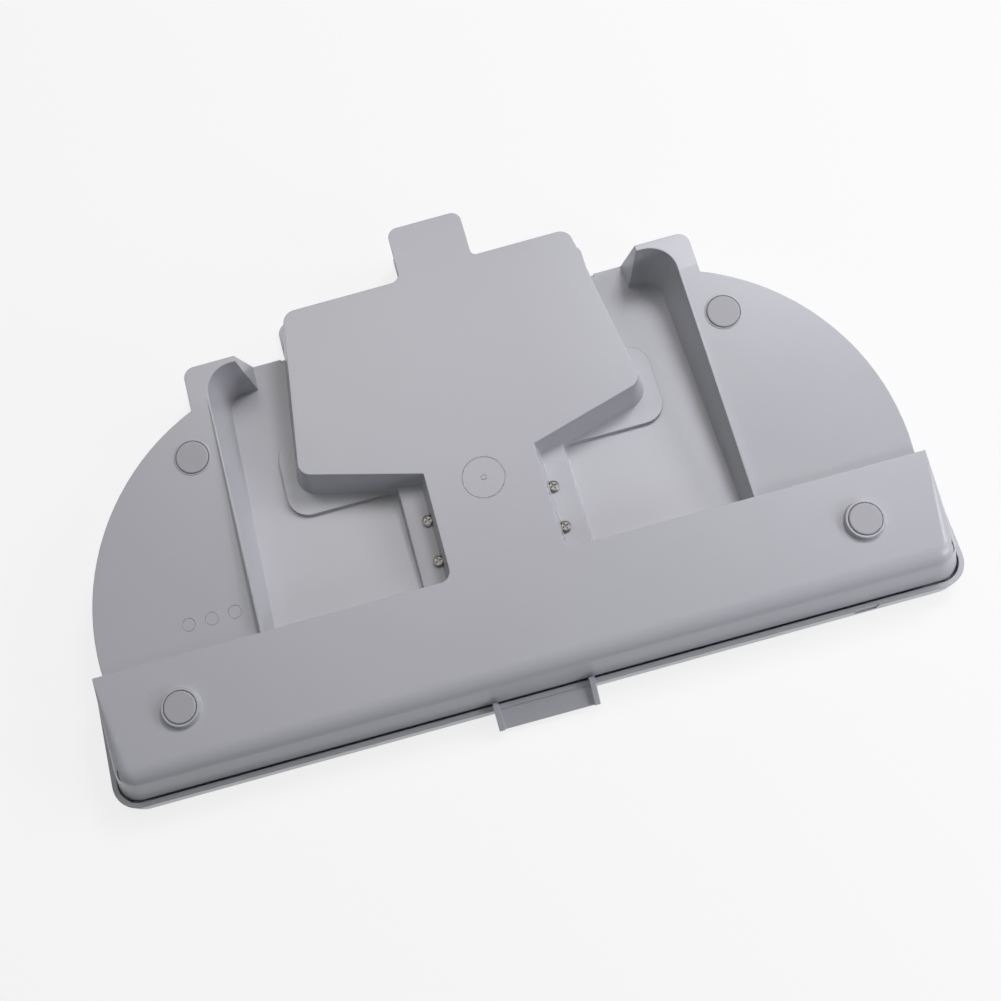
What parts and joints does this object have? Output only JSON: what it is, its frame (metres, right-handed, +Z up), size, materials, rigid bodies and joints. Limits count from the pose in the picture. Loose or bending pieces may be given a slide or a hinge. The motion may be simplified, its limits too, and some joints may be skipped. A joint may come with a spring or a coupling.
{
  "type": "dust collection tray",
  "caption": "D-shaped moulded plastic tray with its underside up: front bar, raised island with a rear tab, recessed floor, two wings, round foot pads and a flat pan with a finger pull.",
  "frame": {"origin": "centre of the bounding box in plan, on the flat outer face of the pan that the tray lies on", "axes": "+X along the front bar to the right as pictured, +Y from the bar to the rear tab, +Z up out of the flat bar face with its foot pads"},
  "size_m": [0.4476, 0.2724, 0.0406],
  "materials": {
    "cover_plastic": "satin",
    "pan_plastic": "satin",
    "foot_pad": "matte",
    "screw_steel": "satin"
  },
  "bodies": {
    "root": {"bottom_cover": "cover_plastic", "tray_pan": "pan_plastic", "foot_front_left": "foot_pad", "foot_front_right": "foot_pad", "foot_rear_left": "foot_pad", "foot_rear_right": "foot_pad", "screw_left_rear": "screw_steel", "screw_left_front": "screw_steel", "screw_right_rear": "screw_steel", "screw_right_front": "screw_steel"}
  },
  "joints": []
}
